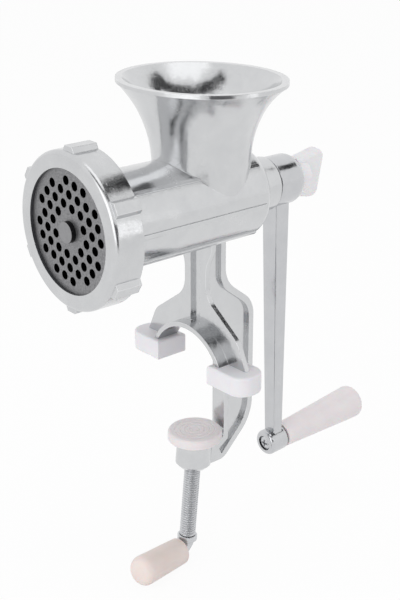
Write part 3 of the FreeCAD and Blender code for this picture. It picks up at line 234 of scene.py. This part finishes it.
def ground_steel(name, light, dark, turn):
    """Flat-ground carbon steel: matt grey and speckled, with straight grinding lines.

    The lines are a third of a millimetre apart. The walls of its holes, and all walls that run along the
    barrel, are painted near black as shade.
    """
    material, tree, shader, place = surface(name, 1.0, 0.5, light)
    turned = add(tree, "ShaderNodeMapping", {"Vector": place},
                 {"Rotation": (0, turn, 0), "Scale": (1, 1, 0.04)})
    lines = add(tree, "ShaderNodeTexNoise", {"Vector": turned.outputs["Vector"]},
                {"Scale": per_mm(0.35), "Detail": 2.0})
    speckle = add(tree, "ShaderNodeTexNoise", {"Vector": place},
                  {"Scale": per_mm(0.8), "Detail": 3.0, "Roughness": 0.7})
    spread = add(tree, "ShaderNodeMapRange", {"Value": speckle.outputs["Fac"]},
                 {"From Min": 0.3, "From Max": 0.7})
    tone = add(tree, "ShaderNodeMix", {"Factor": spread.outputs["Result"]},
               {"A": linear(dark), "B": linear(light)}, data_type="RGBA")
    # Painted shade: walls that run along the barrel, in the holes and round the rim, are painted near black.
    tone = add(tree, "ShaderNodeMix", {"Factor": end_faces(tree), "B": tone.outputs["Result"]},
               {"A": linear(HOLE_WALL_SHADE)}, data_type="RGBA")
    tree.links.new(tone.outputs["Result"], shader.inputs["Base Color"])
    dull = add(tree, "ShaderNodeMapRange", {"Value": lines.outputs["Fac"]},
               {"From Min": 0.3, "From Max": 0.7, "To Min": 0.42, "To Max": 0.6})
    tree.links.new(dull.outputs["Result"], shader.inputs["Roughness"])
    scratch = add(tree, "ShaderNodeBump", {"Height": lines.outputs["Fac"]},
                  {"Strength": 0.4, "Distance": 0.03 * MM})
    tree.links.new(scratch.outputs["Normal"], shader.inputs["Normal"])
    return material


def turned_steel(name, face_colour, shaded_side_colour):
    """Bar steel turned on a lathe: a grey end face and sides painted darker as shade, both a little cloudy.
    """
    material, tree, shader, place = surface(name, 1.0, 0.45, face_colour)
    # Painted shade: surfaces that don't face along the barrel take the dark side colour.
    tone = add(tree, "ShaderNodeMix", {"Factor": end_faces(tree)},
               {"A": linear(shaded_side_colour), "B": linear(face_colour)}, data_type="RGBA")
    tree.links.new(tone.outputs["Result"], shader.inputs["Base Color"])
    clouds = add(tree, "ShaderNodeTexNoise", {"Vector": place}, {"Scale": per_mm(1.5), "Detail": 3.0})
    dull = add(tree, "ShaderNodeMapRange", {"Value": clouds.outputs["Fac"]},
               {"From Min": 0.3, "From Max": 0.7, "To Min": 0.38, "To Max": 0.55})
    tree.links.new(dull.outputs["Result"], shader.inputs["Roughness"])
    return material


def plated_steel(name, light, dark):
    """Zinc-plated steel: even grey shine, with grey painted shade in the thread's roots and tight corners.

    The plating bath leaves faint cloudy spots.
    """
    material, tree, shader, place = surface(name, 1.0, 0.3, light)
    clouds = add(tree, "ShaderNodeTexNoise", {"Vector": place}, {"Scale": per_mm(2.2), "Detail": 4.0})
    # Painted shade: thread roots and tight corners, found by occlusion, are painted grey.
    corners = add(tree, "ShaderNodeAmbientOcclusion", values={"Distance": 0.8 * MM}, samples=8)
    unshaded = add(tree, "ShaderNodeMapRange", {"Value": corners.outputs["AO"]},
                     {"From Min": 0.3, "From Max": 0.8})
    tone = add(tree, "ShaderNodeMix", {"Factor": clouds.outputs["Fac"]},
               {"A": linear(dark), "B": linear(light)}, data_type="RGBA")
    tone = add(tree, "ShaderNodeMix", {"Factor": unshaded.outputs["Result"], "B": tone.outputs["Result"]},
               {"A": linear(ROOT_SHADE)}, data_type="RGBA")
    tree.links.new(tone.outputs["Result"], shader.inputs["Base Color"])
    dull = add(tree, "ShaderNodeMapRange", {"Value": clouds.outputs["Fac"]},
               {"From Min": 0.3, "From Max": 0.7, "To Min": 0.22, "To Max": 0.38})
    tree.links.new(dull.outputs["Result"], shader.inputs["Roughness"])
    return material


def moulded_plastic(name, light, dark, sheen):
    """Plastic from a mould, white polypropylene or black nylon.

    Soft shine with a milky depth, faint clouds and a fine spark-eroded grain.
    """
    material, tree, shader, place = surface(name, 0.0, sheen, light)
    shader.inputs["IOR"].default_value = PLASTIC_IOR
    shader.inputs["Subsurface Weight"].default_value = 0.15
    shader.inputs["Subsurface Scale"].default_value = 1.5 * MM
    clouds = add(tree, "ShaderNodeTexNoise", {"Vector": place}, {"Scale": per_mm(11), "Detail": 2.0})
    grain = add(tree, "ShaderNodeTexNoise", {"Vector": place}, {"Scale": per_mm(0.5), "Detail": 1.0})
    tone = add(tree, "ShaderNodeMix", {"Factor": clouds.outputs["Fac"]},
               {"A": linear(dark), "B": linear(light)}, data_type="RGBA")
    tree.links.new(tone.outputs["Result"], shader.inputs["Base Color"])
    dull = add(tree, "ShaderNodeMapRange", {"Value": grain.outputs["Fac"]},
               {"From Min": 0.3, "From Max": 0.7,
                "To Min": sheen - GRAIN_SPREAD, "To Max": sheen + GRAIN_SPREAD})
    tree.links.new(dull.outputs["Result"], shader.inputs["Roughness"])
    pores = add(tree, "ShaderNodeBump", {"Height": grain.outputs["Fac"]},
                {"Strength": 0.15, "Distance": 0.03 * MM})
    tree.links.new(pores.outputs["Normal"], shader.inputs["Normal"])
    return material


# Painted shade in the body: inside the bore mid-grey, and a near-black line at the rear boss's root.
casting_finish = tumbled_aluminium("tumbled_cast_aluminium", "#D8D9DA", "#C6C7C9", SHEEN, WAVE_MM,
                                   [(BORE_MM, BORE_ENDS_MM, "#8C8D90"), (BOSS_MM, BOSS_ROOT_MM, "#3C3C3E")])
# Painted shade: the wall of the ring's opening is painted dark grey.
ring_finish = tumbled_aluminium("tumbled_ring_aluminium", "#D8D9DA", "#C2C3C5", SHEEN, WAVE_MM,
                                [(OPENING_MM, RING_ENDS_MM, "#66676A")])
# Painted shade: the hub's front, in the gap before the boss, is painted near black.
crank_finish = tumbled_aluminium("tumbled_crank_aluminium", "#D2D3D5", "#BDBEC1", SHEEN, WAVE_MM,
                                 [(HUB_FACE_MM, HUB_GAP_MM, "#404143")])
auger_finish = tumbled_aluminium("plain_cast_aluminium", "#CFD1D4", "#B2B4B8", PLAIN_SHEEN,
                                 PLAIN_WAVE_MM)
# Plate and blade: the walls of their holes are painted near black as shade.
plate_finish = ground_steel("ground_carbon_steel", "#AAAAAC", "#727274", turn=0.6)
blade_finish = ground_steel("ground_blade_steel", "#6C6D6F", "#535456", turn=1.2)
# Drive stud: grey end face, sides painted near black as shade.
stud_finish = turned_steel("turned_bar_steel", "#9A9A9C", "#2E2E30")
rod_finish = plated_steel("zinc_plated_steel", "#DCDDDF", "#BFC1C4")
white_finish = moulded_plastic("white_moulded_polypropylene", "#EAE9EC", "#E0DEE3", sheen=0.38)
knob_finish = moulded_plastic("knob_moulded_polypropylene", "#F4F3F5", "#EBE9ED", sheen=0.38)
pad_finish = moulded_plastic("pad_moulded_polypropylene", "#E9E4E5", "#DED8DA", sheen=0.42)
grip_finish = moulded_plastic("grip_moulded_polypropylene", "#EEE9EA", "#E3DCDE", sheen=0.38)
lever_finish = moulded_plastic("warm_moulded_polypropylene", "#EDE1DD", "#E1D3CC", sheen=0.38)
bush_finish = moulded_plastic("black_nylon", "#2B2B2D", "#222224", sheen=0.5)

FINISHES = {
    "body_casting": casting_finish, "ring_nut": ring_finish, "crank_arm": crank_finish,
    "auger": auger_finish, "grinding_plate": plate_finish, "cutter_blade": blade_finish,
    "plate_key": rod_finish, "drive_stud": stud_finish, "grip_screw": rod_finish,
    "thumb_screw_stud": rod_finish, "clamp_screw": rod_finish, "swivel_foot": rod_finish,
    "left_boot": white_finish, "right_boot": white_finish, "thumb_screw_knob": knob_finish,
    "pad_cap": pad_finish, "crank_grip": grip_finish, "lever_grip": lever_finish,
    "rear_bush": bush_finish, "thrust_washer": bush_finish,
}
for name, material in FINISHES.items():
    nodes[name].data.materials.clear()
    nodes[name].data.materials.append(material)


def linked(name, data):
    """New object at the origin that shows the given data."""
    made = bpy.data.objects.new(name, data)
    bpy.context.scene.collection.objects.link(made)
    return made


def closed_tube(name, points, material):
    """Mesh of a grid of points, rows along the piece and columns round it.

    The end rows shrink to one point each.
    """
    rows, columns, _ = points.shape
    inner = points[1:-1].reshape(-1, 3)
    corners = np.vstack([points[0, :1], inner, points[-1, :1]])
    index = 1 + np.arange((rows - 2) * columns).reshape(rows - 2, columns)
    after = np.roll(index, -1, axis=1)
    sides = np.stack([index[:-1], after[:-1], after[1:], index[1:]], axis=-1).reshape(-1, 4)
    first = np.stack([np.zeros(columns, int), after[0], index[0]], axis=-1)
    last = np.stack([np.full(columns, len(corners) - 1), index[-1], after[-1]], axis=-1)
    mesh = bpy.data.meshes.new(name)
    mesh.from_pydata(corners.tolist(), [], sides.tolist() + first.tolist() + last.tolist())
    mesh.polygons.foreach_set("use_smooth", np.ones(len(mesh.polygons), bool))
    mesh.set_sharp_from_angle(angle=SMOOTH_TO)
    mesh.materials.append(material)
    return linked(name, mesh)


def round_way(count):
    """Angles once round a piece."""
    return np.linspace(0, 2 * math.pi, count, endpoint=False)


def on_clamp_axis(points):
    """Points of an upright clamp piece turned by the lever's angle, tilted about X and set under the pad."""
    spin_c, spin_s = math.cos(LEVER_TURN), math.sin(LEVER_TURN)
    lean_c, lean_s = math.cos(CLAMP_LEAN), math.sin(CLAMP_LEAN)
    spin = np.array([[spin_c, -spin_s, 0], [spin_s, spin_c, 0], [0, 0, 1]])
    lean = np.array([[1, 0, 0], [0, lean_c, lean_s], [0, -lean_s, lean_c]])
    offset = np.array([0, CLAMP_Y_MM - PAD_TOP_MM * lean_s, PAD_TOP_MM - PAD_TOP_MM * lean_c])
    return (points @ (lean @ spin).T + offset) * MM


def clamp_rod():
    """Radius against distance along a line that runs down, round a quarter bend and forwards.

    A row is a circle across the line. On the threaded stretch the radius falls from the crest by the
    thread's depth times a cosine wave of height less turn, which fades out at both ends.
    """
    crest, depth, pitch, run_in = 4.0, 0.62, 1.25, 0.3
    thread_top, thread_low = -38.1, -89.5
    turn = round_way(40)
    steps = np.linspace(thread_top - run_in, thread_low + run_in, 480)
    # Height and radius of the plain tip above the thread and of the collar below it.
    tip = [(-35.3, 0.0), (-35.3, 2.9), (-35.6, 3.2), (thread_top, 3.2), (thread_top, 3.6)]
    collar = [(thread_low, 3.6), (thread_low, 4.6), (-89.8, 4.9), (-92.2, 4.9), (-92.5, 4.6), (-92.5, 4.1)]
    height = np.concatenate([[z for z, _ in tip], steps, [z for z, _ in collar]])
    radius = np.concatenate([[r for _, r in tip], np.full(len(steps), crest), [r for _, r in collar]])
    fade = np.zeros(len(height))
    fade[len(tip):-len(collar)] = np.clip(np.minimum(thread_top - steps, steps - thread_low) / pitch, 0, 1)
    wave = 0.5 + 0.5 * np.cos(2 * math.pi * height[:, None] / pitch - turn[None, :])
    reach = radius[:, None] - depth * fade[:, None] * wave
    upright = np.stack([reach * np.cos(turn), reach * np.sin(turn),
                        np.broadcast_to(height[:, None], reach.shape)], axis=-1)
    bend_r, rod_r, lever_z, lever_end = 6.0, 4.1, -97.2, -28.0
    bevel_long, bevel_in = 1.0, 0.7
    bend = np.linspace(0, math.pi / 2, 14)
    lever_y = [lever_end + bevel_long, lever_end, lever_end]
    centre_y = np.concatenate([bend_r * np.cos(bend) - bend_r, lever_y])
    centre_z = np.concatenate([lever_z + bend_r - bend_r * np.sin(bend), [lever_z] * 3])
    aim = np.concatenate([bend, [math.pi / 2] * 3])
    thick = np.concatenate([np.full(len(bend), rod_r), [rod_r, rod_r - bevel_in, 0.0]])
    across = thick[:, None] * np.sin(turn)
    lever = np.stack([thick[:, None] * np.cos(turn),
                      centre_y[:, None] + across * np.cos(aim)[:, None],
                      centre_z[:, None] + across * np.sin(aim)[:, None]], axis=-1)
    return closed_tube("clamp_rod", on_clamp_axis(np.concatenate([upright, lever])[:, ::-1]), rod_finish)


def clamp_pad():
    """Profile of radius and height turned about an upright line.

    It runs from the roof of the hollow out and down to the rim's foot, up the outside, over a quarter round,
    and in across the top, which falls by a raised cosine at each of its fine rings.
    """
    pad_r, hollow_r, low, roof, edge, foot_bevel = 13.2, 11.0, -37.5, -34.7, 1.5, 0.5
    ring_radii, ring_half, ring_depth = (2.4, 4.8, 7.2, 9.6), 0.6, 0.22
    corner = np.linspace(0, math.pi / 2, 9)
    top_r = np.linspace(pad_r - edge, 0, 130)
    away = np.abs(top_r[:, None] - np.array(ring_radii)).min(axis=1)
    top_z = PAD_TOP_MM - ring_depth * 0.5 * (1 + np.cos(math.pi * np.clip(away / ring_half, 0, 1)))
    radius = np.concatenate([[0, hollow_r, hollow_r, pad_r - foot_bevel, pad_r],
                             pad_r - edge + edge * np.cos(corner), top_r[1:]])
    height = np.concatenate([[roof, roof, low, low, low + foot_bevel],
                             PAD_TOP_MM - edge + edge * np.sin(corner), top_z[1:]])
    turn = round_way(96)
    points = np.stack([radius[:, None] * np.cos(turn), PAD_Y_MM + radius[:, None] * np.sin(turn),
                       np.broadcast_to(height[:, None], (len(height), len(turn)))], axis=-1)
    return closed_tube("clamp_pad", points * MM, pad_finish)


def cross_screw():
    """Profile of radius and distance turned about the grip's axis: domed head, then shank.

    The dome is a parabola of the radius. Two crossed slots, each the product of two clipped ramps, sink
    into it.
    """
    head_r, dome, rim, head_back, shank_r, shank_end = 3.35, 0.9, 0.75, 2.52, 2.5, 50.3
    slot_half, slot_reach, slot_depth, ramp = 0.42, 1.95, 1.1, 0.22
    turn = round_way(96)
    dome_r = np.linspace(0, head_r, 34)
    radius = np.concatenate([dome_r, [head_r, shank_r, shank_r, 0]])
    dome_run = rim - dome * (1 - (dome_r / head_r) ** 2)
    along = np.concatenate([dome_run, [head_back, head_back, shank_end, shank_end]])
    side, up = np.abs(radius[:, None] * np.cos(turn)), np.abs(radius[:, None] * np.sin(turn))
    slots = [np.clip((slot_half - a) / ramp + 0.5, 0, 1) * np.clip((slot_reach - b) / ramp, 0, 1)
             for a, b in ((side, up), (up, side))]
    sunk = slot_depth * np.maximum(*slots)
    sunk[len(dome_r):] = 0
    run = along[:, None] + sunk
    lift = radius[:, None] * np.sin(turn)
    points = np.stack([radius[:, None] * np.cos(turn),
                       GRIP_START_MM[0] + run * math.cos(GRIP_RISE) - lift * math.sin(GRIP_RISE),
                       GRIP_START_MM[1] + run * math.sin(GRIP_RISE) + lift * math.cos(GRIP_RISE)], axis=-1)
    return closed_tube("cross_screw", points[:, ::-1] * MM, rod_finish)


def head_thread():
    """Small rounded ridge carried along a helix round the barrel's head.

    The ridge is half a sine wave high, and both ends run out into the metal.
    """
    pitch, rise, root, half, run_out = 3.0, 0.22, 0.3, 0.9, 1.0
    travel = np.linspace(*HEAD_ENDS_MM, 360)
    turn = 2 * math.pi * (travel - HEAD_ENDS_MM[0]) / pitch
    way = round_way(12)
    fade = np.clip(np.minimum(travel - travel[0], travel[-1] - travel) / run_out, 0, 1)
    height = np.where(np.sin(way) > 0, rise * np.sin(way), root * np.sin(way))
    radius = HEAD_MM + height * fade[:, None]
    along = travel[:, None] + half * np.cos(way) * fade[:, None]
    points = np.stack([radius * np.cos(turn)[:, None], along,
                       AXIS_MM + radius * np.sin(turn)[:, None]], axis=-1)
    return closed_tube("head_thread", points[:, ::-1] * MM, casting_finish)


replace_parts(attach(clamp_rod(), "clamp"), "clamp_screw")
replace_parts(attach(clamp_pad(), "pad"), "pad_cap")
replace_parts(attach(cross_screw(), "handle"), "grip_screw")
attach(head_thread(), "frame")


# White floor and surroundings for the camera and for reflections, plain soft light for everything else.
def pale_floor():
    """Large square under the lever's grip, white to the eye, with a little of the shadow left in."""
    low = cad_box[0].z - FLOOR_DROP_MM * MM
    mesh = bpy.data.meshes.new("floor")
    corners = [(x * FLOOR_HALF, y * FLOOR_HALF, low) for x, y in SQUARE]
    mesh.from_pydata(corners, [], [(0, 1, 2, 3)])
    material = bpy.data.materials.new("pale_floor")
    material.use_nodes = True
    tree = material.node_tree
    tree.nodes.clear()
    path = add(tree, "ShaderNodeLightPath")
    seen = add(tree, "ShaderNodeMath", {0: path.outputs["Is Camera Ray"]}, {1: FLOOR_SEEN},
               operation="MULTIPLY")
    mirrored = add(tree, "ShaderNodeMath", {0: path.outputs["Is Glossy Ray"]}, {1: FLOOR_MIRRORED},
                   operation="MULTIPLY")
    share = add(tree, "ShaderNodeMath", {0: seen.outputs["Value"], 1: mirrored.outputs["Value"]},
                operation="MAXIMUM")
    white = add(tree, "ShaderNodeEmission", values={"Color": linear("#FFFFFF"), "Strength": 1.0})
    matt = add(tree, "ShaderNodeBsdfDiffuse", values={"Color": linear("#F4F4F4")})
    mix = add(tree, "ShaderNodeMixShader",
              {0: share.outputs["Value"], 1: matt.outputs["BSDF"], 2: white.outputs["Emission"]})
    add(tree, "ShaderNodeOutputMaterial", {"Surface": mix.outputs["Shader"]})
    mesh.materials.append(material)
    floor = linked("floor", mesh)


def white_surroundings():
    """World that is white to the camera and in reflections and gives a soft even light otherwise."""
    world = bpy.data.worlds.new("studio")
    bpy.context.scene.world = world
    world.use_nodes = True
    tree = world.node_tree
    tree.nodes.clear()
    path = add(tree, "ShaderNodeLightPath")
    seen = add(tree, "ShaderNodeMath", {0: path.outputs["Is Camera Ray"], 1: path.outputs["Is Glossy Ray"]},
               operation="MAXIMUM")
    clear = add(tree, "ShaderNodeMath", {0: seen.outputs["Value"], 1: path.outputs["Is Transmission Ray"]},
                operation="MAXIMUM")
    strength = add(tree, "ShaderNodeMapRange", {"Value": clear.outputs["Value"]},
                   {"To Min": WORLD_LIGHT, "To Max": 1.0})
    light = add(tree, "ShaderNodeBackground", {"Strength": strength.outputs["Result"]},
                {"Color": linear("#FFFFFF")})
    add(tree, "ShaderNodeOutputWorld", {"Surface": light.outputs["Background"]})


def towards(azimuth, elevation):
    """Unit vectors at angles in degrees, counted from the plate's side round to the right, and upwards."""
    turn, rise = np.radians(azimuth), np.radians(elevation)
    return np.stack([np.sin(turn) * np.cos(rise), -np.cos(turn) * np.cos(rise), np.sin(rise)], axis=-1)


def shine_only(name, points, quads, material):
    """Stage piece that shows in the grinder's shine and nowhere else."""
    mesh = bpy.data.meshes.new(name)
    mesh.from_pydata(points.tolist(), [], quads.tolist())
    mesh.materials.append(material)
    card = linked(name, mesh)
    card.visible_camera = card.visible_diffuse = card.visible_shadow = card.visible_transmission = False


def soft_lamp(name, azimuth, elevation, distance, size, power):
    """Square area lamp that looks at the grinder's middle.

    A black back hides the white surroundings behind it.
    """
    lamp = bpy.data.lights.new(name, "AREA")
    lamp.size = size
    lamp.energy = power
    holder = linked(name, lamp)
    aim = Vector(towards(azimuth, elevation))
    turn = aim.to_track_quat("Z", "Y")
    holder.location = Vector(STUDIO_CENTRE) + distance * aim
    holder.rotation_euler = turn.to_euler()
    corners = [(x * size / 2, y * size / 2, LAMP_BACK) for x, y in SQUARE]
    points = np.array([holder.location + turn @ Vector(corner) for corner in corners])
    shine_only(name + "_back", points, np.array([[0, 1, 2, 3]]), black_cloth)


def dark_card(name, azimuths, elevations, distance, material):
    """Patch of a sphere round the grinder, dark in its shine, to draw the forms of bright metal."""
    across, up = np.meshgrid(np.linspace(*azimuths, 41), np.linspace(*elevations, 9), indexing="ij")
    points = STUDIO_CENTRE + distance * towards(across, up)
    index = np.arange(across.size).reshape(across.shape)
    quads = np.stack([index[:-1, :-1], index[:-1, 1:], index[1:, 1:], index[1:, :-1]], axis=-1)
    shine_only(name, points.reshape(-1, 3), quads.reshape(-1, 4), material)


pale_floor()
white_surroundings()
black_cloth = surface("black_cloth", metallic=0.0, roughness=0.9, colour="#2A2A2C")[0]
grey_cloth = surface("grey_cloth", metallic=0.0, roughness=0.9, colour="#6E6E70")[0]
dark_card("card_high", azimuths=(-12, 172), elevations=(45, 58), distance=1.1, material=black_cloth)
dark_card("card_back", azimuths=(148, 172), elevations=(36, 45), distance=1.1, material=black_cloth)
dark_card("card_right", azimuths=(40, 106), elevations=(0, 12), distance=0.45, material=grey_cloth)
dark_card("card_low", azimuths=(45, 78), elevations=(-16, 0), distance=0.45, material=grey_cloth)
soft_lamp("key", azimuth=12, elevation=10, distance=1.1, size=0.9, power=4.4)
soft_lamp("top", azimuth=90, elevation=86, distance=1.2, size=0.8, power=2.8)
soft_lamp("side", azimuth=105, elevation=2, distance=0.30, size=0.09, power=0.036)

camera = linked("camera", bpy.data.cameras.new("camera"))
camera.data.lens = PHOTO_LENS_MM
camera.data.sensor_width = PHOTO_SIDE_MM
camera.location = PHOTO_PLACE
camera.rotation_euler = Vector(towards(PHOTO_AZIMUTH, PHOTO_ELEVATION)).to_track_quat("Z", "Y").to_euler()
bpy.context.scene.camera = camera
bpy.context.scene.view_settings.view_transform = "Standard"
